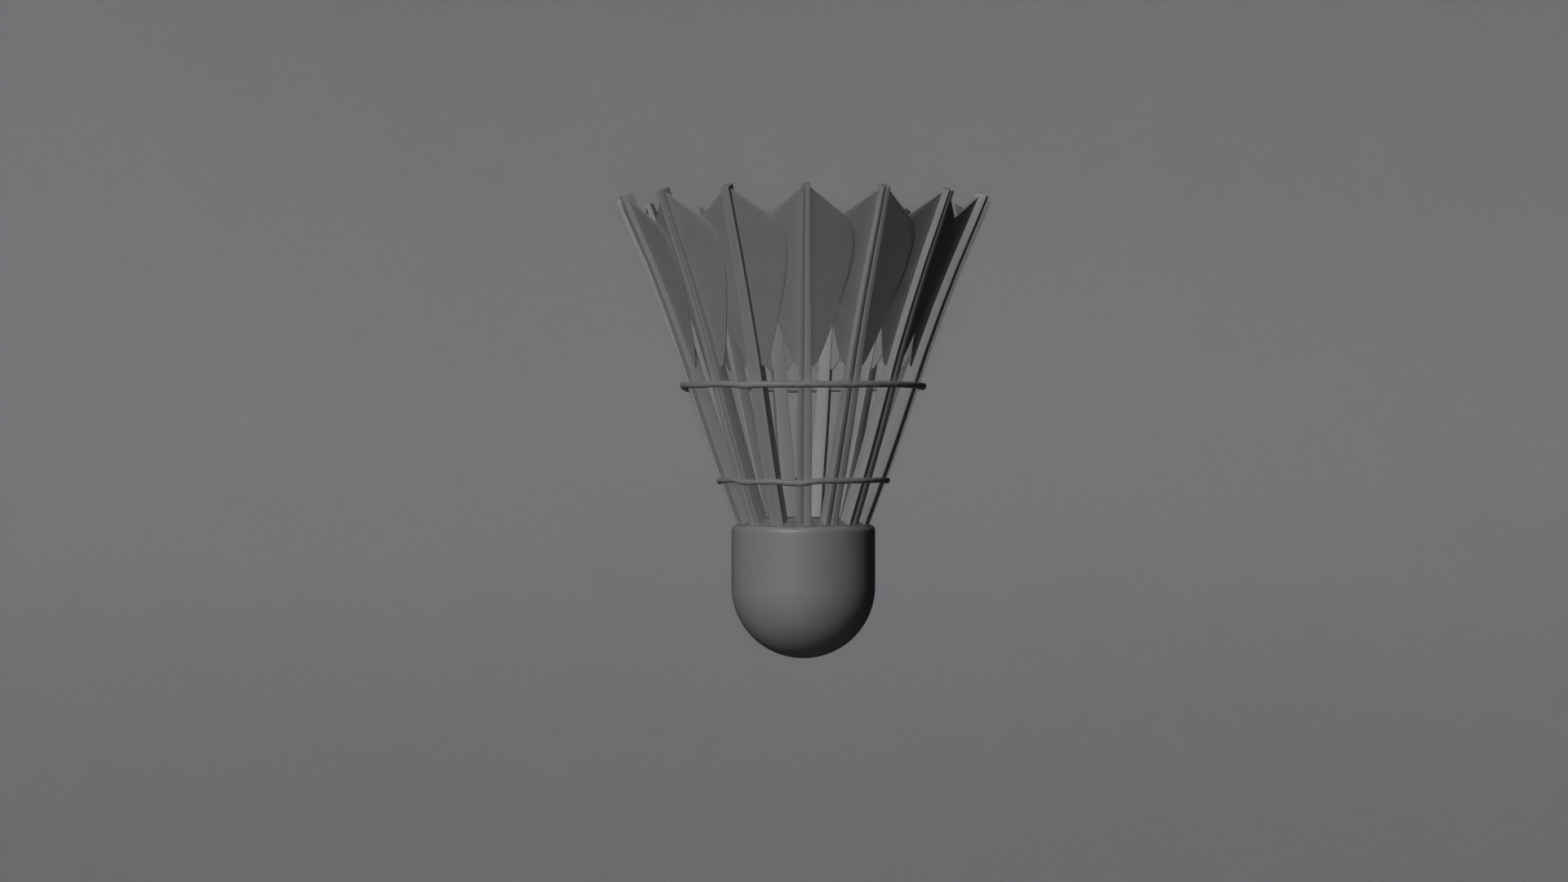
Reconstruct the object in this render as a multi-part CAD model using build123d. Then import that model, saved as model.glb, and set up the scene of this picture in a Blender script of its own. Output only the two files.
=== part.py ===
from build123d import *
import math
import os

# ---------------------------------------------------------------------------
# Feather badminton shuttlecock, millimetres, +Z up.
# The nose of the cork is at the origin, pointing down; the feathers flare
# upward round the Z axis. Feather 01 stands on the -Y side, and the numbers
# go round anticlockwise seen from above.
# ---------------------------------------------------------------------------

# Cork base
CORK_R = 13.0            # radius over the leather
CORK_TOP_Z = 25.4        # flat top of the cork
FLAT_R = 9.9             # radius of the flat top
RIM_R = 1.2              # rounding where the side turns into the shoulder
RIM_Z = 23.06            # height at which that rounding starts
SHOULDER_DEG = 27.6      # slope of the shoulder up to the flat top
SKIN_T = 0.5             # thickness of the leather cover
NOSE_JOINT_Z = 9.0       # glue line between nose and middle cork
MID_JOINT_Z = 15.0       # glue line between middle and upper cork

# Feathers
N_FEATHERS = 15
PITCH_DEG = 360.0 / N_FEATHERS
FIRST_DEG = -90.0 + 0.4      # direction of feather 01 from +X
FLARE_SLOPE = 0.3816         # radius gained per millimetre of height
REF_Z = 39.3                 # height at which the next radius is taken
REF_R = 17.75                # radius of the outer face of a shaft there
TIP_S = 46.56                # shaft length above the reference height

# Shaft sections: (distance along the shaft from the reference height,
# width, depth, outward shift of the outer face). A feather is not quite
# straight: between the cork and the tip it bows in towards the axis.
SHAFT_SECTIONS = [
    (-24.3, 1.50, 1.50, -0.45),   # trimmed, tapered end of the quill
    (-16.6, 2.50, 2.40, 0.0),     # where it leaves the cork
    (-5.0, 2.50, 2.40, -0.03),
    (1.0, 2.50, 2.40, -0.15),
    (7.5, 2.39, 2.34, -0.38),
    (16.7, 2.24, 2.25, -0.70),    # level with the lower barbs
    (25.0, 2.02, 2.21, -0.78),
    (33.0, 1.81, 2.17, -0.62),
    (40.0, 1.62, 2.13, -0.28),
    (TIP_S, 1.45, 2.10, 0.0),     # cut tip
]
EDGE_DROP = 0.04         # fall of the face towards its outer edges, full width
GROOVE_D = 0.26          # depth of the groove between the two ridges
GROOVE_X = 0.12          # how far the groove runs to one side of the middle
GROOVE_SPREAD = 0.30     # distance over which a groove wall flattens out
FULL_W = 2.50

# Vanes (each feather has one web of barbs on each side of the shaft)
VANE_T = 0.28            # thickness of a web
VANE_IN = 1.10           # depth of the web's root below the outer face
VANE_STEP = 0.22         # one web sits this far out, the other this far in
VANE_TOP = [(0.15, 46.0), (0.72, 46.0), (6.9, 40.45)]
VANE_SIDE = [(6.9, 40.45), (8.55, 37.9), (8.8, 34.6), (7.5, 28.2),
             (5.85, 23.4), (3.8, 17.5), (2.5, 14.4)]
VANE_FOOT = [(2.5, 14.4), (1.95, 13.65), (0.15, 13.05)]

# Thread rings
# (height, radius of the ring's centre line, radius of the waxed thread)
UPPER_RING = (49.3, 21.62, 0.66)
LOWER_RING = (32.2, 15.09, 0.56)

os.makedirs("parts", exist_ok=True)

# ---------------------------------------------------------------------------
# One feather, standing in the XZ plane on the +X side
# ---------------------------------------------------------------------------
flare = math.atan(FLARE_SLOPE)
along = Vector(math.sin(flare), 0, math.cos(flare))     # up the shaft
outward = Vector(math.cos(flare), 0, -math.sin(flare))  # out of its face
side = Vector(0, 1, 0)
origin = Vector(REF_R, 0, REF_Z)


def at(s, off=0.0):
    return origin + along * s + outward * off


def shaft_section(s, w, d, off):
    """Flat back and sides; the face has two ridges with a groove between."""
    k = w / FULL_W
    plane = Plane(origin=at(s, off), x_dir=-side, z_dir=along)
    gx, h = GROOVE_X * k, w / 2

    def ridge(sign):
        reach = abs(sign * h - gx)
        pts = []
        for t in (0.0, 0.14, 0.32, 0.62, 1.0):
            fall = GROOVE_D * math.exp(-t * reach / (GROOVE_SPREAD * k))
            pts.append(Vector(gx + sign * reach * t,
                              -k * (fall + EDGE_DROP * t ** 4)))
        return pts

    right, left = ridge(+1), ridge(-1)
    edges = [
        Edge.make_line((-h, -d), (h, -d)),
        Edge.make_line((h, -d), right[-1]),
        Edge.make_spline(right[::-1]),
        Edge.make_spline(left),
        Edge.make_line(left[-1], (-h, -d)),
    ]
    wire = Wire(edges)
    return plane.from_local_coords(wire)


def bow(s):
    """Outward shift of the outer face at s, and its slope there."""
    for (s0, _, _, b0), (s1, _, _, b1) in zip(SHAFT_SECTIONS,
                                              SHAFT_SECTIONS[1:]):
        if s <= s1:
            slope = (b1 - b0) / (s1 - s0)
            return b0 + (s - s0) * slope, slope
    return SHAFT_SECTIONS[-1][3], slope


shaft = Solid.make_loft([shaft_section(*row) for row in SHAFT_SECTIONS],
                        ruled=True)

# A web leans back from its shaft so that it lies along the flank of the cone
# and meets the plane of the neighbouring web squarely.
half_pitch = math.radians(PITCH_DEG / 2)
lean = math.atan(math.tan(half_pitch) * math.cos(flare))


def web(sign, step):
    across = side * (sign * math.cos(lean)) - outward * math.sin(lean)
    normal = across.cross(along)
    if normal.dot(outward) < 0:
        push = normal * (-step)
    else:
        push = normal * step
    plane = Plane(origin=at(0, -VANE_IN) + push, x_dir=across,
                  z_dir=normal)
    edges = [
        Edge.make_line(VANE_TOP[0], VANE_TOP[1]),
        Edge.make_line(VANE_TOP[1], VANE_TOP[2]),
        Edge.make_spline([Vector(*p) for p in VANE_SIDE]),
        Edge.make_line(VANE_FOOT[0], VANE_FOOT[1]),
        Edge.make_line(VANE_FOOT[1], VANE_FOOT[2]),
        Edge.make_line(VANE_FOOT[2], VANE_TOP[0]),
    ]
    face = plane.from_local_coords(Face(Wire(edges)))
    outline = extrude(face, amount=2.0, both=True)
    # the sheet of the web follows the bow of its shaft
    if normal.dot(outward) < 0:
        out = -1.0
    else:
        out = 1.0
    stops = [12.0] + [row[0] for row in SHAFT_SECTIONS if row[0] > 12.0][:-1]
    stops.append(TIP_S + 1.0)
    rise = [out * bow(min(t, TIP_S))[0] / math.cos(lean) for t in stops]
    rail = [(t, r + VANE_T / 2) for t, r in zip(stops, rise)]
    rail += [(t, r - VANE_T / 2) for t, r in zip(stops, rise)][::-1]
    band_plane = Plane(origin=plane.origin, x_dir=along, z_dir=across)
    flip = 1.0 if band_plane.y_dir.dot(normal) > 0 else -1.0
    band_face = band_plane.from_local_coords(
        Face(Wire(Edge.make_line(a, b) for a, b in zip(
            [Vector(t, flip * r) for t, r in rail],
            [Vector(t, flip * r) for t, r in rail[1:] + rail[:1]]))))
    sheet = extrude(band_face, amount=9.5, dir=across)
    solid = outline & sheet
    return (solid - shaft).solids().sort_by(SortBy.VOLUME)[-1]


web_after = web(+1, VANE_STEP)     # lies over the next feather
web_before = web(-1, -VANE_STEP)   # tucks under the previous feather

shafts = []
for i in range(N_FEATHERS):
    turn = Rotation(0, 0, FIRST_DEG + PITCH_DEG * i)
    shafts.append(turn * shaft)
    name = f"feather_{i + 1:02d}"
    export_step(shafts[-1], f"parts/{name}_shaft.step")
    export_step(turn * web_after, f"parts/{name}_vane_over.step")
    export_step(turn * web_before, f"parts/{name}_vane_under.step")

# ---------------------------------------------------------------------------
# Cork base: three glued layers in a leather cover
# ---------------------------------------------------------------------------
core_r = CORK_R - SKIN_T
rim_in = CORK_R - RIM_R
turn_deg = 90.0 - SHOULDER_DEG       # the rounding ends where it meets the slope


def on_ball(r, z):
    return math.sqrt(r * r - (CORK_R - z) ** 2)


def on_rim(deg):
    a = math.radians(deg)
    return (rim_in + RIM_R * math.cos(a), RIM_Z + RIM_R * math.sin(a))


# angle on the rounding at which it crosses the inside of the leather
skin_deg = math.degrees(math.acos((core_r - rim_in) / RIM_R))
skin_top_z = on_rim(skin_deg)[1]


def turned(edges):
    """Solid of revolution from a closed (radius, height) outline."""
    plane = Plane.XZ
    face = plane.from_local_coords(Face(Wire(edges)))
    return revolve(face, axis=Axis.Z, revolution_arc=360)


def line(a, b):
    return Edge.make_line(a, b)


def arc(a, m, b):
    return Edge.make_three_point_arc(a, m, b)


nose_r = on_ball(core_r, NOSE_JOINT_Z)
mid_half = math.atan2(nose_r, CORK_R - NOSE_JOINT_Z) / 2
nose = turned([
    line((0, NOSE_JOINT_Z), (0, SKIN_T)),
    arc((0, SKIN_T),
        (core_r * math.sin(mid_half), CORK_R - core_r * math.cos(mid_half)),
        (nose_r, NOSE_JOINT_Z)),
    line((nose_r, NOSE_JOINT_Z), (0, NOSE_JOINT_Z)),
])

a0 = math.atan2(CORK_R - NOSE_JOINT_Z, nose_r) / 2
middle = turned([
    line((0, MID_JOINT_Z), (0, NOSE_JOINT_Z)),
    line((0, NOSE_JOINT_Z), (nose_r, NOSE_JOINT_Z)),
    arc((nose_r, NOSE_JOINT_Z),
        (core_r * math.cos(a0), CORK_R - core_r * math.sin(a0)),
        (core_r, CORK_R)),
    line((core_r, CORK_R), (core_r, MID_JOINT_Z)),
    line((core_r, MID_JOINT_Z), (0, MID_JOINT_Z)),
])

upper = turned([
    line((0, CORK_TOP_Z), (0, MID_JOINT_Z)),
    line((0, MID_JOINT_Z), (core_r, MID_JOINT_Z)),
    line((core_r, MID_JOINT_Z), (core_r, skin_top_z)),
    arc((core_r, skin_top_z), on_rim((skin_deg + turn_deg) / 2),
        on_rim(turn_deg)),
    line(on_rim(turn_deg), (FLAT_R, CORK_TOP_Z)),
    line((FLAT_R, CORK_TOP_Z), (0, CORK_TOP_Z)),
])
for s in shafts:
    upper = upper - s          # the fifteen angled sockets

c45 = math.sqrt(0.5)
cover = turned([
    line((0, SKIN_T), (0, 0)),
    arc((0, 0), (CORK_R * c45, CORK_R * (1 - c45)), (CORK_R, CORK_R)),
    line((CORK_R, CORK_R), (CORK_R, RIM_Z)),
    arc((CORK_R, RIM_Z), on_rim(skin_deg / 2), (core_r, skin_top_z)),
    line((core_r, skin_top_z), (core_r, CORK_R)),
    arc((core_r, CORK_R), (core_r * c45, CORK_R - core_r * c45),
        (0, SKIN_T)),
])

export_step(nose, "parts/cork_nose.step")
export_step(middle, "parts/cork_middle.step")
export_step(upper, "parts/cork_upper.step")
export_step(cover, "parts/leather_cover.step")

# ---------------------------------------------------------------------------
# Thread: one ring of waxed thread above the other, drawn tight round the
# outside of the shafts, so that it is pressed flat where it crosses each one
# ---------------------------------------------------------------------------
for name, (z, r, thread_r) in (("thread_ring_upper", UPPER_RING),
                               ("thread_ring_lower", LOWER_RING)):
    crossing = (z - REF_Z) / math.cos(flare)
    inset, slope = bow(crossing)
    seat = Plane(origin=at(crossing, inset - 1.5), x_dir=-side,
                 z_dir=along + outward * slope) * Box(FULL_W + 0.06, 3.0, 4.0)
    # the ring starts and ends half-way between two feathers
    section = Plane.XZ.from_local_coords(
        Face(Wire([Edge.make_circle(thread_r).moved(Pos(r, z, 0))])))
    start = FIRST_DEG - PITCH_DEG / 2
    ring = Rotation(0, 0, start) * revolve(section, axis=Axis.Z,
                                           revolution_arc=360)
    for i in range(N_FEATHERS):
        ring = ring - Rotation(0, 0, FIRST_DEG + PITCH_DEG * i) * seat
    export_step(ring, f"parts/{name}.step")
    print(name, len(ring.solids()), round(ring.volume, 3), ring.is_valid)

print("shaft", round(shaft.volume, 3), "web", round(web_after.volume, 3),
      round(web_before.volume, 3))
for n, p in (("nose", nose), ("middle", middle), ("upper", upper),
             ("cover", cover)):
    print(n, len(p.solids()), round(p.volume, 2))
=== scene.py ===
import math
import random

import bmesh
import bpy
import numpy as np
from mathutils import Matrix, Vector


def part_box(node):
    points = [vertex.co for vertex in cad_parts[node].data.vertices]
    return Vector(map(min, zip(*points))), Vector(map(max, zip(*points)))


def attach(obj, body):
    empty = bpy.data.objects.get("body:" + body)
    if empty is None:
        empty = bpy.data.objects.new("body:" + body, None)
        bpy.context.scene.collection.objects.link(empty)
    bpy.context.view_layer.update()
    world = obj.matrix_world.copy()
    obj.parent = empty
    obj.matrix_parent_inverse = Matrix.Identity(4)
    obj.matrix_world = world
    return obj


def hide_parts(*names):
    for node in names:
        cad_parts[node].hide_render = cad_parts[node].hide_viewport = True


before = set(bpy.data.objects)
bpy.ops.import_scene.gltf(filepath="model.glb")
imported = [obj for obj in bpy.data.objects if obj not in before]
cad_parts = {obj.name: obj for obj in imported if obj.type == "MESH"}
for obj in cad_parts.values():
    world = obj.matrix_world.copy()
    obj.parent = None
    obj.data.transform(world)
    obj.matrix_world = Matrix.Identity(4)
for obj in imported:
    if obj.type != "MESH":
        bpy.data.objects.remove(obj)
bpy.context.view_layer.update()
MM = 0.001

# ---------------------------------------------------------------------------
# Feather layout, as the CAD part has it (millimetres)
# ---------------------------------------------------------------------------
N_FEATHERS = 15
PITCH = math.radians(24.0)
FIRST = math.radians(-90.0 + 0.4)
FLARE = math.atan(0.3816)
REF_Z, REF_R = 39.3, 17.75
TIP_S = 46.56
SECTIONS = [(-24.3, 1.50, 1.50, -0.45), (-16.6, 2.50, 2.40, 0.0),
            (-5.0, 2.50, 2.40, -0.03), (1.0, 2.50, 2.40, -0.15),
            (7.5, 2.39, 2.34, -0.38), (16.7, 2.24, 2.25, -0.70),
            (25.0, 2.02, 2.21, -0.78), (33.0, 1.81, 2.17, -0.62),
            (40.0, 1.62, 2.13, -0.28), (TIP_S, 1.45, 2.10, 0.0)]
FULL_W, GROOVE_D, GROOVE_X, SPREAD, EDGE_DROP = 2.50, 0.26, 0.12, 0.30, 0.04
VANE_IN, VANE_STEP, VANE_T = 1.10, 0.22, 0.28
LEAN = math.atan(math.tan(PITCH / 2) * math.cos(FLARE))


def basis(i):
    """Origin, along, outward and side vectors of feather i, in millimetres."""
    a = FIRST + PITCH * i
    e_r = np.array([math.cos(a), math.sin(a), 0.0])
    e_t = np.array([-math.sin(a), math.cos(a), 0.0])
    up = np.array([0.0, 0.0, 1.0])
    along = e_r * math.sin(FLARE) + up * math.cos(FLARE)
    outward = e_r * math.cos(FLARE) - up * math.sin(FLARE)
    return e_r * REF_R + up * REF_Z, along, outward, e_t


# ---------------------------------------------------------------------------
# Mesh helpers
# ---------------------------------------------------------------------------
def make(name, verts_mm, faces, sharp=35.0):
    me = bpy.data.meshes.new(name)
    me.from_pydata((np.asarray(verts_mm) * MM).tolist(), [], faces)
    me.validate()
    me.polygons.foreach_set("use_smooth", [True] * len(me.polygons))
    me.set_sharp_from_angle(angle=math.radians(sharp))
    me.update()
    ob = bpy.data.objects.new(name, me)
    bpy.context.scene.collection.objects.link(ob)
    return ob


def fibre(ob, values):
    """A vector on every point, in millimetres: across, along and a seed."""
    at = ob.data.attributes.new("fibre", "FLOAT_VECTOR", "POINT")
    at.data.foreach_set("vector", np.asarray(values, np.float32).ravel())


def grid_faces(rows, cols, close=False, start=0):
    out = []
    for j in range(rows - 1):
        for k in range(cols if close else cols - 1):
            a, b = start + j * cols + k, start + j * cols + (k + 1) % cols
            out.append((a, b, b + cols, a + cols))
    return out


# ---------------------------------------------------------------------------
# Shafts: a flat-backed quill whose face has two low ridges and a groove
# ---------------------------------------------------------------------------
def shaft_outline(w, d, flat=0.0):
    """Closed outline, anticlockwise seen from the tip: (side, outward).
    flat draws the outline in a little, for the rounded cut at the tip."""
    k = w / FULL_W
    h, gx, r = w / 2 - flat, GROOVE_X * k, min(0.14, 0.2 * k)
    pts = []
    for cx, cy, a0 in ((-h + r, -d + flat + r, 180), (h - r, -d + flat + r, 270)):
        for a in (0, 30, 60, 90):
            t = math.radians(a0 + a)
            pts.append((cx + r * math.cos(t), cy + r * math.sin(t)))
    # right flank, right ridge, groove, left ridge, left flank
    def fall(x):
        reach = (h - gx) if x > gx else (h + gx)
        t = abs(x - gx)
        e = (t / reach) ** 4
        return -k * (GROOVE_D * math.exp(-t / (SPREAD * k)) + EDGE_DROP * e) - flat
    rc = 0.11 * k
    top_r = fall(h - rc)
    for a in (0, 30, 60, 90):
        t = math.radians(a)
        pts.append((h - rc + rc * math.cos(t), top_r - rc + rc * math.sin(t)))
    for t in (0.80, 0.62, 0.46, 0.33, 0.22, 0.13, 0.06, 0.02):
        x = gx + (h - rc - gx) * t
        pts.append((x, fall(x)))
    pts.append((gx, fall(gx) + 0.015 * k))
    for t in (0.02, 0.06, 0.13, 0.22, 0.33, 0.46, 0.62, 0.80):
        x = gx - (h - rc + gx) * t
        pts.append((x, fall(x)))
    top_l = fall(-h + rc)
    for a in (90, 120, 150, 180):
        t = math.radians(a)
        pts.append((-h + rc + rc * math.cos(t), top_l - rc + rc * math.sin(t)))
    return pts


def section_at(s):
    for (s0, w0, d0, o0), (s1, w1, d1, o1) in zip(SECTIONS, SECTIONS[1:]):
        if s <= s1:
            t = (s - s0) / (s1 - s0)
            return w0 + (w1 - w0) * t, d0 + (d1 - d0) * t, o0 + (o1 - o0) * t
    return SECTIONS[-1][1:]


def bow(s):
    """How far a feather bows in towards the axis at s, as its shaft does."""
    return section_at(s)[2] if s > -16.6 else 0.0


def build_shaft(i, rng):
    org, along, outward, side = basis(i)
    stations = ([-24.3, -20.5] + list(np.linspace(-16.6, 44.6, 46))
                + [45.6, 46.2, 46.44, 46.53, TIP_S])
    phase = [rng.uniform(0, 6.28) for _ in range(4)]
    verts, fib = [], []
    for s in stations:
        w, d, off = section_at(s)
        flat = 0.0
        if s > TIP_S - 0.13:
            flat = {46.44: 0.01, 46.53: 0.04, TIP_S: 0.10}.get(round(s, 2), 0.10)
        # a quill is never quite even: its sides wander by a few hundredths
        wob = 0.018 * math.sin(s * 0.37 + phase[0]) + 0.010 * math.sin(s * 0.93 + phase[1])
        bow = 0.020 * math.sin(s * 0.21 + phase[2])
        for x, y in shaft_outline(w, d, flat):
            x2 = -x * (1 + wob / w) + bow
            verts.append(org + along * s + outward * (y + off) + side * x2)
            fib.append((x2, s, i * 1.7 + y))
    m = len(shaft_outline(2.5, 2.4))
    faces = grid_faces(len(stations), m, close=True)
    # cut ends: a fan from the middle of the face, slightly dished at the tip
    for row, flip, dish in ((0, False, 0.0), (len(stations) - 1, True, -0.05)):
        ring = list(range(row * m, row * m + m))
        w, d, off = section_at(stations[row])
        verts.append(org + along * (stations[row] + dish)
                     + outward * (off - d / 2))
        fib.append((0.0, stations[row], i * 1.7))
        c = len(verts) - 1
        for k in range(m):
            a, b = ring[k], ring[(k + 1) % m]
            faces.append((c, a, b) if not flip else (c, b, a))
    ob = make(f"quill_{i + 1:02d}", verts, faces, sharp=32)
    fibre(ob, fib)
    return ob


# ---------------------------------------------------------------------------
# Webs: combed barbs that leave the shaft at an angle, inside the outline that
# the CAD web has. Each barb is a low ridge of its own.
# ---------------------------------------------------------------------------
def web_axes(i, sign):
    org, along, outward, side = basis(i)
    across = side * (sign * math.cos(LEAN)) - outward * math.sin(LEAN)
    normal = np.cross(across, along)
    if normal @ outward < 0:
        normal = -normal
    return org - outward * VANE_IN, across, along, normal


def cad_outline(i, sign, name):
    """The web's outline from the CAD node: its convex hull in (u, s)."""
    o, across, along, _ = web_axes(i, sign)
    co = np.zeros(len(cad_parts[name].data.vertices) * 3)
    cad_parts[name].data.vertices.foreach_get("co", co)
    p = co.reshape(-1, 3) / MM - o
    uv = np.unique(np.round(np.stack([p @ across, p @ along], 1), 4), axis=0)
    pts = uv[np.lexsort((uv[:, 1], uv[:, 0]))].tolist()

    def half(seq):
        out = []
        for q in seq:
            while len(out) > 1 and ((out[-1][0] - out[-2][0]) * (q[1] - out[-2][1])
                                    - (out[-1][1] - out[-2][1]) * (q[0] - out[-2][0])) <= 1e-9:
                out.pop()
            out.append(q)
        return out[:-1]
    return half(pts) + half(pts[::-1])


def barb(u):
    """Rise of a barb above its root, at distance u from the shaft's middle."""
    return 0.72 * u + 0.048 * u * u


BARB = 0.46         # spacing of the barbs along the shaft
ROWS_PER_BARB = 4
COLS = 11


def spans(outline):
    """For each barb row: its root value and where it enters and leaves."""
    dense = []
    n = len(outline)
    for a, b in zip(outline, outline[1:] + outline[:1]):
        steps = max(1, int(math.hypot(b[0] - a[0], b[1] - a[1]) / 0.15))
        for t in range(steps):
            dense.append((a[0] + (b[0] - a[0]) * t / steps,
                          a[1] + (b[1] - a[1]) * t / steps))
    sheared = [(u, s - barb(u)) for u, s in dense]
    lo, hi = min(c for _, c in sheared), max(c for _, c in sheared)
    step = BARB / ROWS_PER_BARB
    rows = []
    first = math.ceil(lo / step)
    values = [lo + 0.02] + [j * step for j in range(first, int(hi / step) + 1)
                            if lo + 0.06 < j * step < hi - 0.06] + [hi - 0.02]
    for c in values:
        hits = []
        for (u0, c0), (u1, c1) in zip(sheared, sheared[1:] + sheared[:1]):
            if (c0 - c) * (c1 - c) <= 0 and c0 != c1:
                hits.append(u0 + (u1 - u0) * (c - c0) / (c1 - c0))
        if len(hits) >= 2 and max(hits) - min(hits) > 1e-4:
            rows.append((c, min(hits), max(hits)))
    return rows


def build_web(i, sign, over, rows, rng):
    name = "over" if over else "under"
    o, across, along, normal = web_axes(i, sign)
    step = VANE_STEP if over else -VANE_STEP
    crown = 0.0016 if over else 0.0030
    ph = [rng.uniform(0, 6.28) for _ in range(4)]
    front, back, ffib, bfib = [], [], [], []
    ts = list(np.linspace(0, 1, COLS - 2))
    for c, u0, u1 in rows:
        length = u1 - u0
        edge = min(0.10, 0.25 * length)
        us = [u0 + (length - edge) * t for t in ts] + [u1 - edge * 0.4, u1]
        frac = (c / BARB) % 1.0
        ridge = 0.5 - 0.5 * math.cos(2 * math.pi * frac)      # 0 in the gap
        for q, u in enumerate(us):
            s = c + barb(u)
            # each barb stands a little proud, most in the outer half
            proud = 0.011 * (ridge - 0.5) * (0.35 + 0.65 * min(1.0, u / 5.0))
            wave = (0.014 * math.sin(s * 0.55 + ph[0]) * (u / 8.0)
                    + 0.010 * math.sin(s * 1.3 + u * 0.8 + ph[1]) * (u / 8.0))
            taper = 1.0 - 0.42 * (max(u, 0) / 8.8) ** 2
            half = VANE_T / 2 * taper
            if q == len(us) - 1:
                half = 0.0
            elif q == len(us) - 2:
                half *= 0.62
            mid = step - crown * u * u + wave + bow(min(s, TIP_S)) / math.cos(LEAN)
            p = o + across * u + along * s
            front.append(p + normal * (mid + half + (proud if half else 0.0)))
            back.append(p + normal * (mid - half - (proud if half else 0.0)))
            ffib.append((u, c, i * 3.1 + (1.3 if over else 0.0)))
            bfib.append((u, c, i * 3.1 + (1.3 if over else 0.0)))
    n_rows, n_cols = len(rows), len(ts) + 2
    fs = grid_faces(n_rows, n_cols)
    # the rim column is shared: back grid uses the front's last column
    verts, fib = list(front), list(ffib)
    index = {}
    for j in range(n_rows):
        for k in range(n_cols):
            if k == n_cols - 1:
                index[j, k] = j * n_cols + k
            else:
                index[j, k] = len(verts)
                verts.append(back[j * n_cols + k])
                fib.append(bfib[j * n_cols + k])
    bs = [(index[j, k], index[j + 1, k], index[j + 1, k + 1], index[j, k + 1])
          for j in range(n_rows - 1) for k in range(n_cols - 1)]
    rim = []
    for j in range(n_rows - 1):                      # root side, in the quill
        rim.append((j * n_cols, (j + 1) * n_cols, index[j + 1, 0], index[j, 0]))
    for k in range(n_cols - 1):                      # first and last row
        a, b = index[0, k], index[0, k + 1]
        f = (k, a, b, k + 1) if b != k + 1 else (k, a, b)
        rim.append(f)
        t = (n_rows - 1) * n_cols
        a, b = index[n_rows - 1, k], index[n_rows - 1, k + 1]
        f = (t + k, t + k + 1, b, a) if b != t + k + 1 else (t + k, t + k + 1, a)
        rim.append(f)
    faces = fs + bs + rim
    # outward faces: check one front face against the outward normal
    a, b, c2, _ = fs[len(fs) // 2]
    nn = np.cross(verts[b] - verts[a], verts[c2] - verts[a])
    if nn @ normal < 0:
        faces = [tuple(reversed(f)) for f in faces]
    ob = make(f"web_{i + 1:02d}_{name}", verts, faces, sharp=50)
    fibre(ob, fib)
    return ob


# ---------------------------------------------------------------------------
# Thread rings: one tight cord, slightly uneven, pressed flat on each quill
# ---------------------------------------------------------------------------
def smooth_curve(points, period=360.0):
    """Periodic cubic through (angle, value) pairs."""
    ang = np.array([p[0] for p in points], float)
    val = np.array([p[1] for p in points], float)
    m = np.zeros(len(ang))
    for k in range(len(ang)):
        a0, a1, a2 = ang[k - 1] - (period if k == 0 else 0), ang[k], (
            ang[(k + 1) % len(ang)] + (period if k == len(ang) - 1 else 0))
        m[k] = (val[(k + 1) % len(ang)] - val[k - 1]) / (a2 - a0)

    def f(x):
        x = (x - ang[0]) % period + ang[0]
        k = int(np.searchsorted(ang, x, side="right")) - 1
        a, b = ang[k], ang[(k + 1) % len(ang)] + (period if k == len(ang) - 1 else 0)
        h = b - a
        t = (x - a) / h
        v0, v1 = val[k], val[(k + 1) % len(ang)]
        m0, m1 = m[k] * h, m[(k + 1) % len(ang)] * h
        return ((2 * t ** 3 - 3 * t ** 2 + 1) * v0 + (t ** 3 - 2 * t ** 2 + t) * m0
                + (-2 * t ** 3 + 3 * t ** 2) * v1 + (t ** 3 - t ** 2) * m1)
    return f


def build_ring(name, node, lift, swell, plies, rng):
    lo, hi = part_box(node)
    r_out = (hi.x - lo.x) / 2 / MM
    zc, cord = (lo.z + hi.z) / 2 / MM, (hi.z - lo.z) / 2 / MM
    ring_r = r_out - cord
    n_long = int(2 * math.pi * ring_r / 0.13)
    n_round = 20
    turns = round(2 * math.pi * ring_r / 2.3)
    verts, fib = [], []
    reach = (zc - REF_Z) / math.cos(FLARE)
    for a in range(n_long):
        deg = -180 + 360.0 * a / n_long          # 0 is the front, + to the right
        th = math.radians(deg) - math.pi / 2
        e_r = np.array([math.cos(th), math.sin(th), 0.0])
        z = zc + lift(deg)
        rad = cord * (1 + swell(deg))
        centre = e_r * ring_r + np.array([0, 0, z])
        for b in range(n_round):
            ph = 2 * math.pi * b / n_round
            tw = plies * (ph - math.radians(deg) * turns / plies)
            r = rad * (1 + 0.030 * (abs(math.cos(tw / 2)) - 0.6))
            p = centre + e_r * (r * math.cos(ph)) + np.array([0, 0, r * math.sin(ph)])
            verts.append(p)
            fib.append((deg * math.pi / 180 * ring_r, ph * cord, tw))
    # press the cord flat against the crest of every quill that it crosses
    w = section_at(reach)[0] / 2 + 0.03
    for v, p in enumerate(verts):
        a = math.atan2(p[1], p[0])
        i = int(round((a - FIRST) / PITCH)) % N_FEATHERS
        org, along, outward, side = basis(i)
        q = p - org
        x, off = q @ side, q @ outward - bow(q @ along)
        if abs(x) < w + 0.35 and off < 0.02:
            soft = min(1.0, max(0.0, (w + 0.35 - abs(x)) / 0.35))
            verts[v] = p + outward * ((0.02 - off) * soft)
    faces = []
    for a in range(n_long):
        for b in range(n_round):
            p0, p1 = a * n_round + b, a * n_round + (b + 1) % n_round
            q0, q1 = (((a + 1) % n_long) * n_round + b,
                      ((a + 1) % n_long) * n_round + (b + 1) % n_round)
            faces.append((p0, q0, q1, p1))
    ob = make(name, verts, faces, sharp=70)
    fibre(ob, fib)
    return ob


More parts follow.
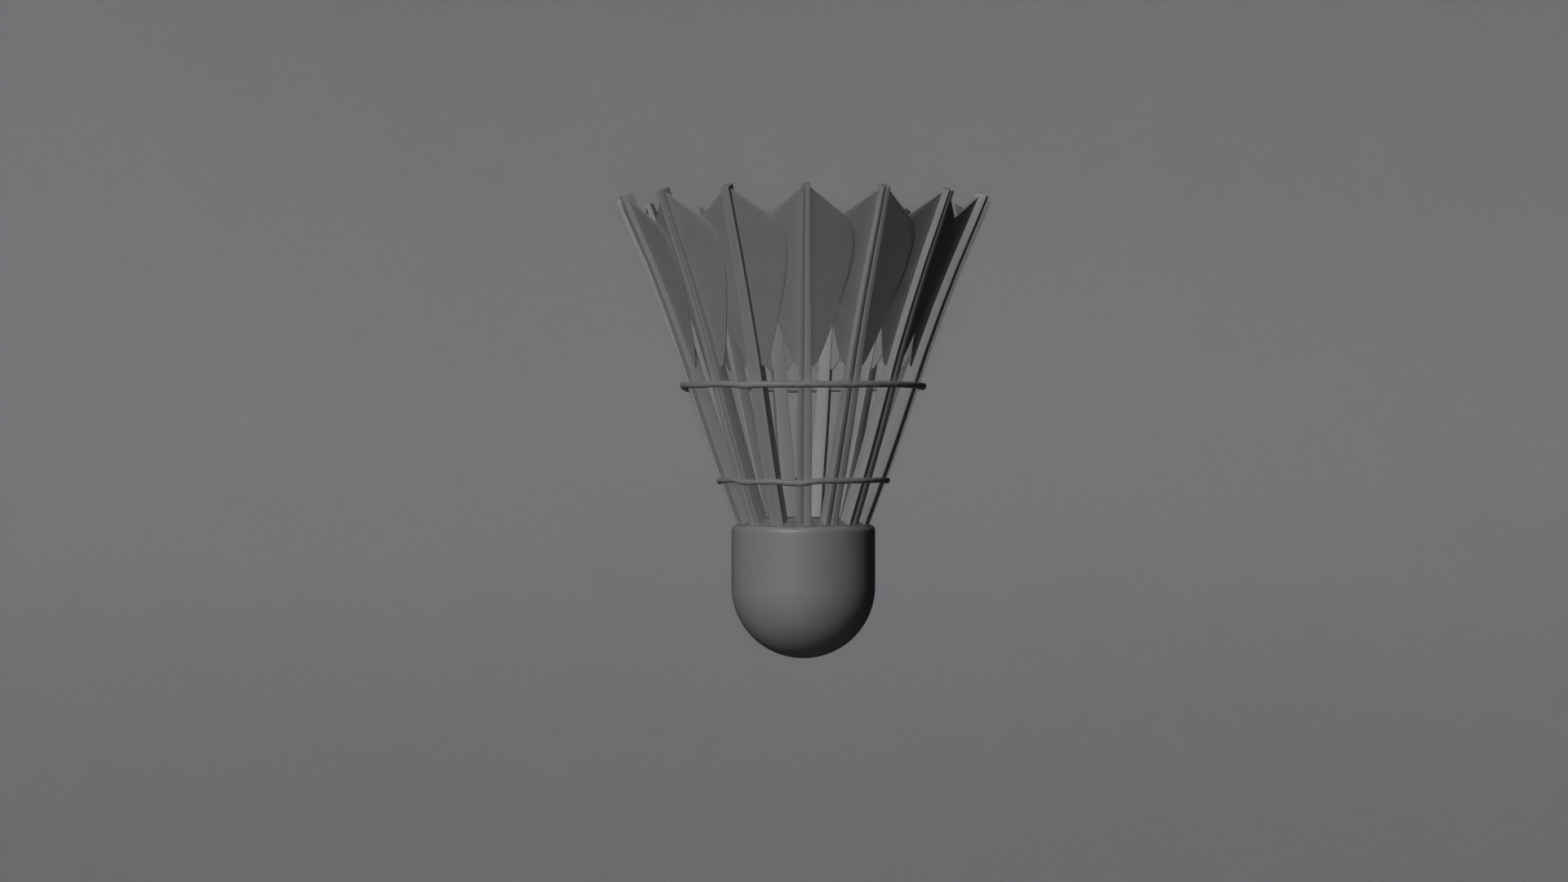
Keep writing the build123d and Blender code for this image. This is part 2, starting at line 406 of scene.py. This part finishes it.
# ---------------------------------------------------------------------------
# Leather cover: a drawn cup of thin kid leather with a rounded, cut top edge
# ---------------------------------------------------------------------------
def build_cover():
    lo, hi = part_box("leather_cover")
    R = (hi.x - lo.x) / 2 / MM
    top = hi.z / MM
    rim_in, rim_z, rim_r = R - 1.2, 23.06, 1.2
    prof = [(0.0, 0.0)]
    for a in np.linspace(0, 90, 49)[1:]:
        t = math.radians(a)
        prof.append((R * math.sin(t), R - R * math.cos(t)))
    for z in np.linspace(R, rim_z, 15)[1:]:
        prof.append((R, z))
    end = math.acos((R - 0.5 - rim_in) / rim_r)
    for a in np.linspace(0, end - 0.06, 10)[1:]:
        prof.append((rim_in + rim_r * math.cos(a), rim_z + rim_r * math.sin(a)))
    # cut edge of the leather: rolls over and goes down beside the cork
    prof += [(R - 0.47, top + 0.005), (R - 0.53, top - 0.02), (R - 0.56, top - 0.09),
             (R - 0.55, top - 0.5), (R - 0.5, top - 1.6)]
    for z in np.linspace(21.0, R, 6):
        prof.append((R - 0.5, z))
    for a in np.linspace(90, 0, 25)[1:-1]:
        t = math.radians(a)
        prof.append(((R - 0.5) * math.sin(t), R - (R - 0.5) * math.cos(t)))
    prof.append((0.0, 0.5))
    n = 144
    verts, faces = [], []
    rings = []
    for r, z in prof:
        if r < 1e-6:
            rings.append([len(verts)])
            verts.append((0.0, 0.0, z))
            continue
        rings.append(list(range(len(verts), len(verts) + n)))
        for k in range(n):
            a = 2 * math.pi * k / n
            # hand-drawn leather: the side and the cut edge wander slightly
            dz = 0.0
            if z > 22.5:
                dz = (0.035 * math.sin(5 * a + 0.7) + 0.02 * math.sin(13 * a + 2.0)) \
                    * (z - 22.5) / 1.5
            verts.append((r * math.cos(a), r * math.sin(a), z + dz - 0.02 * (dz != 0.0)))
    for A, B in zip(rings, rings[1:]):
        for k in range(n):
            k2 = (k + 1) % n
            if len(A) == 1:
                faces.append((A[0], B[k2], B[k]))
            elif len(B) == 1:
                faces.append((A[k], A[k2], B[0]))
            else:
                faces.append((A[k], A[k2], B[k2], B[k]))
    return make("kid_leather", verts, faces, sharp=60)


# ---------------------------------------------------------------------------
# Materials
# ---------------------------------------------------------------------------
class Nodes:
    def __init__(self, name):
        self.mat = bpy.data.materials.new(name)
        self.mat.use_nodes = True
        self.t = self.mat.node_tree
        self.t.nodes.clear()
        self.out = self.t.nodes.new("ShaderNodeOutputMaterial")
        self.b = self.t.nodes.new("ShaderNodeBsdfPrincipled")
        self.t.links.new(self.b.outputs[0], self.out.inputs[0])

    def new(self, kind, **inputs):
        n = self.t.nodes.new(kind)
        for key, value in inputs.items():
            if key.startswith("_"):
                setattr(n, key[1:], value)
            elif isinstance(value, bpy.types.NodeSocket):
                self.t.links.new(value, n.inputs[key.replace("_", " ")])
            else:
                n.inputs[key.replace("_", " ")].default_value = value
        return n

    def link(self, a, b):
        self.t.links.new(a, b)

    def math(self, op, a, b=0.0, clamp=False):
        n = self.t.nodes.new("ShaderNodeMath")
        n.operation = op
        n.use_clamp = clamp
        for k, v in enumerate((a, b)):
            if isinstance(v, bpy.types.NodeSocket):
                self.t.links.new(v, n.inputs[k])
            else:
                n.inputs[k].default_value = v
        return n.outputs[0]

    def scaled(self, vec, scale):
        n = self.t.nodes.new("ShaderNodeVectorMath")
        n.operation = "MULTIPLY"
        self.t.links.new(vec, n.inputs[0])
        n.inputs[1].default_value = scale
        return n.outputs[0]

    def ramp(self, fac, stops):
        n = self.t.nodes.new("ShaderNodeValToRGB")
        self.t.links.new(fac, n.inputs[0])
        while len(n.color_ramp.elements) < len(stops):
            n.color_ramp.elements.new(0.5)
        for e, (pos, col) in zip(n.color_ramp.elements, stops):
            e.position = pos
            e.color = (*col, 1.0)
        return n.outputs[0]

    def mix(self, fac, a, b, mode="MIX"):
        n = self.t.nodes.new("ShaderNodeMix")
        n.data_type = "RGBA"
        n.blend_type = mode
        for key, v in ((0, fac), (6, a), (7, b)):
            if isinstance(v, bpy.types.NodeSocket):
                self.t.links.new(v, n.inputs[key])
            elif key == 0:
                n.inputs[0].default_value = v
            else:
                n.inputs[key].default_value = (*v, 1.0)
        return n.outputs[2]

    def bump(self, height, strength, distance, normal=None):
        n = self.t.nodes.new("ShaderNodeBump")
        n.inputs["Strength"].default_value = strength
        n.inputs["Distance"].default_value = distance
        self.t.links.new(height, n.inputs["Height"])
        if normal is not None:
            self.t.links.new(normal, n.inputs["Normal"])
        return n.outputs[0]


def grey(v, warm=0.0):
    return (v * (0.984 + warm), v * 1.006, v * (1.010 - warm))


def range_of(n, socket, lo, hi):
    r = n.new("ShaderNodeMapRange", Value=socket)
    r.inputs["To Min"].default_value = lo
    r.inputs["To Max"].default_value = hi
    return r.outputs[0]


def vane_material():
    n = Nodes("feather_barbs")
    att = n.new("ShaderNodeAttribute", _attribute_name="fibre").outputs["Vector"]
    # streaks that run along the barbs: fine across them, long along them
    streak = n.new("ShaderNodeTexNoise", Vector=n.scaled(att, (0.16, 2.6, 1.0)),
                   Scale=1.0, Detail=3.0, Roughness=0.55).outputs["Fac"]
    blotch = n.new("ShaderNodeTexNoise", Vector=n.scaled(att, (0.10, 0.12, 1.0)),
                   Scale=1.0, Detail=2.0).outputs["Fac"]
    sep = n.new("ShaderNodeSeparateXYZ", Vector=att)
    # gap between neighbouring barbs
    phase = n.math("FRACT", n.math("DIVIDE", sep.outputs["Y"], BARB))
    gap = n.math("ABSOLUTE", n.math("SUBTRACT", phase, 0.5))
    gap = n.math("MULTIPLY", n.math("SUBTRACT", gap, 0.34, clamp=True), 5.0, clamp=True)
    base = n.ramp(streak, [(0.30, grey(0.430)), (0.70, grey(0.500))])
    base = n.mix(0.25, base, n.ramp(blotch, [(0.3, grey(0.415, 0.01)), (0.7, grey(0.51))]))
    # painted shade: the gaps between the barbs are darkened in the colour
    base = n.mix(n.math("MULTIPLY", gap, 0.15), base, grey(0.36))
    # barbules: a much finer comb across each barb
    comb = n.new("ShaderNodeTexWave", Vector=n.scaled(att, (1.0, 0.25, 0.0)),
                 Scale=3.2, Distortion=1.2, Detail=1.0,
                 Detail_Scale=2.0).outputs["Fac"]
    n.link(base, n.b.inputs["Base Color"])
    n.link(range_of(n, streak, 0.56, 0.70), n.b.inputs["Roughness"])
    n.b.inputs["Sheen Weight"].default_value = 0.02
    n.b.inputs["Specular IOR Level"].default_value = 0.40
    fine = n.bump(comb, 0.10, 0.00002)
    coarse = n.bump(n.math("ADD", streak, n.math("MULTIPLY", gap, -0.6)), 0.26,
                    0.00003, fine)
    n.link(coarse, n.b.inputs["Normal"])
    return n.mat


def quill_material():
    n = Nodes("quill_keratin")
    att = n.new("ShaderNodeAttribute", _attribute_name="fibre").outputs["Vector"]
    grain = n.new("ShaderNodeTexNoise", Vector=n.scaled(att, (5.0, 0.10, 1.0)),
                  Scale=1.0, Detail=4.0, Roughness=0.6).outputs["Fac"]
    cloud = n.new("ShaderNodeTexNoise", Vector=n.scaled(att, (0.5, 0.09, 1.0)),
                  Scale=1.0, Detail=2.0).outputs["Fac"]
    speck = n.new("ShaderNodeTexNoise", Vector=n.scaled(att, (3.0, 2.0, 1.0)),
                  Scale=1.0, Detail=3.0, Roughness=0.7).outputs["Fac"]
    base = n.ramp(grain, [(0.28, grey(0.520, 0.006)), (0.72, grey(0.580))])
    base = n.mix(0.30, base, n.ramp(cloud, [(0.3, grey(0.515, 0.01)), (0.7, grey(0.585))]))
    base = n.mix(n.math("MULTIPLY", n.math("SUBTRACT", speck, 0.62, clamp=True), 1.6,
                        clamp=True), base, grey(0.34, 0.02))
    n.link(base, n.b.inputs["Base Color"])
    n.link(range_of(n, grain, 0.38, 0.50), n.b.inputs["Roughness"])
    n.b.inputs["Specular IOR Level"].default_value = 0.55
    n.link(n.bump(n.math("ADD", grain, n.math("MULTIPLY", speck, 0.3)), 0.30,
                  0.00004), n.b.inputs["Normal"])
    return n.mat


def cork_material():
    n = Nodes("ground_cork")
    obj = n.new("ShaderNodeTexCoord").outputs["Object"]
    warp = n.new("ShaderNodeTexNoise", Vector=obj, Scale=700.0, Detail=2.0)
    moved = n.new("ShaderNodeVectorMath", _operation="MULTIPLY_ADD")
    n.link(warp.outputs["Color"], moved.inputs[0])
    moved.inputs[1].default_value = (0.0005, 0.0005, 0.0005)
    n.link(obj, moved.inputs[2])
    cells = n.new("ShaderNodeTexVoronoi", Vector=moved.outputs[0], Scale=900.0)
    tone = n.new("ShaderNodeSeparateXYZ", Vector=cells.outputs["Color"]).outputs["X"]
    pits = n.new("ShaderNodeTexNoise", Vector=obj, Scale=1500.0, Detail=3.0,
                 Roughness=0.7).outputs["Fac"]
    base = n.ramp(tone, [(0.0, grey(0.335, 0.006)), (1.0, grey(0.42, 0.003))])
    base = n.mix(n.math("MULTIPLY", n.math("SUBTRACT", pits, 0.60, clamp=True), 4.0,
                        clamp=True), base, grey(0.26, 0.01))
    n.link(base, n.b.inputs["Base Color"])
    n.link(range_of(n, pits, 0.70, 0.90), n.b.inputs["Roughness"])
    n.b.inputs["Specular IOR Level"].default_value = 0.30
    edge = n.new("ShaderNodeTexVoronoi", Vector=moved.outputs[0], Scale=900.0,
                 _feature="DISTANCE_TO_EDGE").outputs["Distance"]
    height = n.math("SUBTRACT", n.math("MINIMUM", n.math("MULTIPLY", edge, 4.0), 1.0),
                    n.math("MULTIPLY", pits, 0.6))
    n.link(n.bump(height, 0.35, 0.00008), n.b.inputs["Normal"])
    return n.mat


def leather_material():
    n = Nodes("kid_leather_grain")
    obj = n.new("ShaderNodeTexCoord").outputs["Object"]
    warp = n.new("ShaderNodeTexNoise", Vector=obj, Scale=420.0, Detail=2.0)
    moved = n.new("ShaderNodeVectorMath", _operation="MULTIPLY_ADD")
    n.link(warp.outputs["Color"], moved.inputs[0])
    moved.inputs[1].default_value = (0.0009, 0.0009, 0.0009)
    n.link(obj, moved.inputs[2])
    pores = n.new("ShaderNodeTexVoronoi", Vector=moved.outputs[0], Scale=2400.0,
                  _feature="DISTANCE_TO_EDGE").outputs["Distance"]
    soft = n.new("ShaderNodeTexNoise", Vector=obj, Scale=130.0, Detail=4.0,
                 Roughness=0.55).outputs["Fac"]
    fine = n.new("ShaderNodeTexNoise", Vector=obj, Scale=3200.0, Detail=3.0,
                 Roughness=0.6).outputs["Fac"]
    crease = n.new("ShaderNodeTexNoise", Vector=n.scaled(obj, (1.0, 1.0, 0.35)),
                   Scale=260.0, Detail=5.0, Roughness=0.65, Distortion=1.0).outputs["Fac"]
    base = n.ramp(soft, [(0.30, grey(0.515, 0.004)), (0.70, grey(0.560))])
    base = n.mix(n.math("MULTIPLY", n.math("SUBTRACT", fine, 0.56, clamp=True), 2.0,
                        clamp=True), base, grey(0.43, 0.01))
    # the nose is a little darker and smoother towards its bottom, in patches
    z = n.new("ShaderNodeSeparateXYZ", Vector=obj).outputs["Z"]
    nose = n.math("SUBTRACT", 1.0, n.math("DIVIDE", z, 0.007), clamp=True)
    nose_patch = n.math("MULTIPLY", nose, range_of(n, crease, 0.0, 0.9), clamp=True)
    base = n.mix(n.math("MULTIPLY", nose_patch, 0.25), base, grey(0.42, 0.015))
    n.link(base, n.b.inputs["Base Color"])
    n.link(n.math("SUBTRACT", range_of(n, soft, 0.43, 0.50),
                  n.math("MULTIPLY", nose_patch, 0.08)), n.b.inputs["Roughness"])
    n.b.inputs["Specular IOR Level"].default_value = 0.95
    n.b.inputs["Coat Weight"].default_value = 0.40
    n.b.inputs["Coat Roughness"].default_value = 0.40
    n.b.inputs["Coat IOR"].default_value = 1.5
    grain = n.math("ADD", n.math("MINIMUM", n.math("MULTIPLY", pores, 5.0), 1.0),
                   n.math("MULTIPLY", fine, 0.7))
    a = n.bump(grain, 0.22, 0.00003)
    b = n.bump(crease, 0.16, 0.00010, a)
    n.link(b, n.b.inputs["Normal"])
    return n.mat


def thread_material():
    n = Nodes("waxed_thread")
    att = n.new("ShaderNodeAttribute", _attribute_name="fibre").outputs["Vector"]
    sep = n.new("ShaderNodeSeparateXYZ", Vector=att)
    twist = n.math("ABSOLUTE", n.math("COSINE", n.math("MULTIPLY", sep.outputs["Z"], 0.5)))
    fuzz = n.new("ShaderNodeTexNoise", Vector=n.scaled(att, (2.2, 4.0, 0.8)),
                 Scale=1.0, Detail=4.0, Roughness=0.65).outputs["Fac"]
    wax = n.new("ShaderNodeTexNoise", Vector=n.scaled(att, (0.35, 0.5, 0.0)),
                Scale=1.0, Detail=2.0).outputs["Fac"]
    base = n.ramp(fuzz, [(0.25, grey(0.44, 0.006)), (0.75, grey(0.53))])
    # painted shade: the grooves between the plies are darkened in the colour
    base = n.mix(n.math("MULTIPLY", n.math("SUBTRACT", 0.35, twist, clamp=True), 1.2,
                        clamp=True), base, grey(0.33))
    n.link(base, n.b.inputs["Base Color"])
    n.link(range_of(n, wax, 0.40, 0.62), n.b.inputs["Roughness"])
    n.b.inputs["Specular IOR Level"].default_value = 0.50
    n.link(n.bump(n.math("ADD", twist, n.math("MULTIPLY", fuzz, 0.5)), 0.35,
                  0.00005), n.b.inputs["Normal"])
    return n.mat


# ---------------------------------------------------------------------------
# Build
# ---------------------------------------------------------------------------
vane_mat, quill_mat = vane_material(), quill_material()
cork_mat, leather_mat, thread_mat = (cork_material(), leather_material(),
                                     thread_material())
outlines = {}
for over, sign, kind in ((True, 1, "over"), (False, -1, "under")):
    hull = cad_outline(0, sign, f"feather_01_vane_{kind}")
    outlines[kind] = spans(hull)

rng = random.Random(7)
for i in range(N_FEATHERS):
    node = f"feather_{i + 1:02d}"
    quill = build_shaft(i, rng)
    quill.data.materials.append(quill_mat)
    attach(quill, "root")
    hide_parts(node + "_shaft")
    lo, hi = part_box(node + "_shaft")
    co = np.array([v.co for v in quill.data.vertices])
    gap = max(abs(co.min(0) - np.array(lo)).max(), abs(co.max(0) - np.array(hi)).max())
    if gap > 0.0003:
        raise RuntimeError(f"{quill.name} is {gap * 1000:.2f} mm off its CAD node")
    for over, sign, kind in ((True, 1, "over"), (False, -1, "under")):
        web = build_web(i, sign, over, outlines[kind], rng)
        web.data.materials.append(vane_mat)
        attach(web, "root")
        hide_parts(f"{node}_vane_{kind}")

# heights of the threads round the skirt (degrees from the front, millimetres)
lower = smooth_curve([(-176, 0.42), (-160, 0.28), (-140, -0.10), (-116, 0.08), (-98, -0.06),
                      (-88, -0.10), (-74, 0.00), (-64, 0.10), (-56, 0.22), (-51, 0.04),
                      (-47, -0.15), (-40, -0.18), (-28, -0.11), (-19, -0.08),
                      (-14, -0.20), (-8, -0.33), (-2, -0.35), (2, -0.24), (6, -0.06),
                      (12, 0.05), (30, 0.05), (44, 0.09), (58, 0.11), (74, 0.12),
                      (86, -0.02), (100, 0.08), (124, -0.08), (150, 0.16), (168, 0.36)])
upper = smooth_curve([(-174, -0.30), (-150, -0.05), (-128, -0.22), (-113, -0.58),
                      (-104, -0.44), (-95, -0.12), (-86, 0.02), (-74, 0.00),
                      (-60, -0.09), (-50, 0.04), (-40, 0.04), (-34, -0.03),
                      (-29, -0.21), (-24, -0.12), (-12, -0.10), (0, -0.10), (20, -0.08),
                      (45, 0.03), (60, 0.00), (75, -0.05), (90, -0.10), (106, 0.02),
                      (126, -0.05), (146, -0.14), (162, -0.18)])
swell_l = smooth_curve([(-110, -0.06), (-96, 0.10), (-86, 0.08), (-76, -0.14), (-62, -0.09),
                        (-30, -0.06), (-6, -0.01), (30, -0.09), (60, -0.11), (78, -0.11),
                        (86, 0.06), (96, 0.10), (106, -0.06), (180, -0.06)])
swell_u = smooth_curve([(-112, -0.12), (-98, 0.04), (-84, 0.02), (-72, -0.14),
                        (-63, -0.22), (-54, -0.13), (-40, -0.13), (-29, 0.04),
                        (-20, -0.08), (0, -0.09), (20, -0.08), (60, -0.12), (76, -0.14),
                        (86, -0.02), (96, 0.02), (108, -0.08), (180, -0.08)])
for name, node, lift, swell in (
        ("thread_upper", "thread_ring_upper", upper, swell_u),
        ("thread_lower", "thread_ring_lower", lower, swell_l)):
    ring = build_ring(name, node, lift, swell, 2, rng)
    ring.data.materials.append(thread_mat)
    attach(ring, "root")
    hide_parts(node)

cover = build_cover()
cover.data.materials.append(leather_mat)
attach(cover, "root")
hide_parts("leather_cover")

for name in ("cork_nose", "cork_middle", "cork_upper"):
    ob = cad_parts[name]
    ob.data.materials.clear()
    ob.data.materials.append(cork_mat)
    # the pole of a turned solid can hold a triangle of no area: take it out
    bm = bmesh.new()
    bm.from_mesh(ob.data)
    bmesh.ops.delete(bm, geom=[f for f in bm.faces if f.calc_area() < 1e-13],
                     context="FACES_ONLY")
    bm.to_mesh(ob.data)
    bm.free()


# ---------------------------------------------------------------------------
# Backdrop: a plain pale floor that sweeps up into a round wall
# ---------------------------------------------------------------------------
def backdrop():
    floor_z, wall_r, bend, n = -0.32, 2.6, 1.2, 96
    prof = [(0.0, floor_z), (0.7, floor_z), (wall_r - bend, floor_z)]
    for a in np.linspace(0, 90, 25)[1:]:
        t = math.radians(a)
        prof.append((wall_r - bend + bend * math.sin(t),
                     floor_z + bend - bend * math.cos(t)))
    prof.append((wall_r, 3.2))
    verts, faces = [(0.0, 0.0, floor_z)], []
    for r, z in prof[1:]:
        verts += [(r * math.cos(2 * math.pi * k / n), r * math.sin(2 * math.pi * k / n), z)
                  for k in range(n)]
    for k in range(n):
        k2 = (k + 1) % n
        faces.append((0, 1 + k, 1 + k2))
        for j in range(len(prof) - 2):
            a = 1 + j * n
            faces.append((a + k, a + n + k, a + n + k2, a + k2))
    me = bpy.data.meshes.new("backdrop")
    me.from_pydata(verts, [], faces)
    me.polygons.foreach_set("use_smooth", [True] * len(me.polygons))
    ob = bpy.data.objects.new("backdrop", me)
    bpy.context.scene.collection.objects.link(ob)
    n = Nodes("studio_paper")
    obj = n.new("ShaderNodeTexCoord").outputs["Object"]
    noise = n.new("ShaderNodeTexNoise", Vector=obj, Scale=1.2, Detail=2.0).outputs["Fac"]
    tone = n.ramp(noise, [(0.3, (0.600, 0.610, 0.630)), (0.7, (0.630, 0.640, 0.661))])
    # painted shade: the sweep is made a little darker where it runs out into the floor,
    # standing in for the shade there
    z = n.new("ShaderNodeSeparateXYZ", Vector=obj).outputs["Z"]
    floor_shade = n.new("ShaderNodeMapRange", Value=z, _interpolation_type="SMOOTHSTEP")
    floor_shade.inputs["From Min"].default_value = -0.34
    floor_shade.inputs["From Max"].default_value = 0.10
    floor_shade.inputs["To Min"].default_value = 0.34
    floor_shade.inputs["To Max"].default_value = 0.0
    n.link(n.mix(floor_shade.outputs[0], tone, (0.17, 0.173, 0.178)), n.b.inputs["Base Color"])
    n.b.inputs["Roughness"].default_value = 0.9
    n.b.inputs["Specular IOR Level"].default_value = 0.1
    me.materials.append(n.mat)
    # the paper is far enough off that it throws no light back on the object
    ob.visible_diffuse = False
    ob.visible_glossy = False
    return ob


paper = backdrop()

# ---------------------------------------------------------------------------
# Light and camera
# ---------------------------------------------------------------------------
AIM = Vector((0, 0, 0.045))


def area(name, az, el, dist, size, power, shadow=True):
    """az is degrees from the front, + to the right; el is above the horizon."""
    li = bpy.data.lights.new(name, "AREA")
    li.shape = "DISK"
    li.size = size
    li.energy = power
    li.use_shadow = shadow
    ob = bpy.data.objects.new(name, li)
    a, e = math.radians(az), math.radians(el)
    ob.location = AIM + Vector((math.sin(a) * math.cos(e), -math.cos(a) * math.cos(e),
                                math.sin(e))) * dist
    ob.rotation_mode = "QUATERNION"
    ob.rotation_quaternion = (AIM - ob.location).to_track_quat("-Z", "Y")
    bpy.context.scene.collection.objects.link(ob)
    return ob


area("key_open", -27, 27, 1.6, 0.16, 6.6, shadow=False)
area("key_soft", -27, 27, 1.6, 0.40, 1.0)
# a low light from behind, for the far side of the skirt
area("back_fill", 180, 8, 1.6, 0.30, 6.5)
# a faint one from below keeps the underside of the nose readable
area("low_fill", -22, -38, 1.6, 0.60, 0.66, shadow=False)

# two broad lights that fall on the paper alone
only_paper = bpy.data.collections.new("paper_only")
only_paper.objects.link(paper)
for name, az, el, power in (("paper_front", -160, 74, 21.5), ("paper_back", 20, 78, 5.6)):
    lamp = area(name, az, el, 2.6, 2.4, power)
    lamp.light_linking.receiver_collection = only_paper

world = bpy.data.worlds.new("studio")
bpy.context.scene.world = world
world.use_nodes = True
bg = world.node_tree.nodes.get("Background")
bg.inputs[0].default_value = (0.95, 0.97, 1.0, 1.0)
bg.inputs[1].default_value = 0.015

cam_data = bpy.data.cameras.new("camera")
cam_data.sensor_width = 36.0
cam_data.lens = 72.9
cam_data.clip_start, cam_data.clip_end = 0.01, 50.0
camera = bpy.data.objects.new("camera", cam_data)
camera.location = (-0.0035, -0.575, REF_Z * MM)
camera.rotation_euler = (math.radians(90), 0, 0)
bpy.context.scene.collection.objects.link(camera)
bpy.context.scene.camera = camera
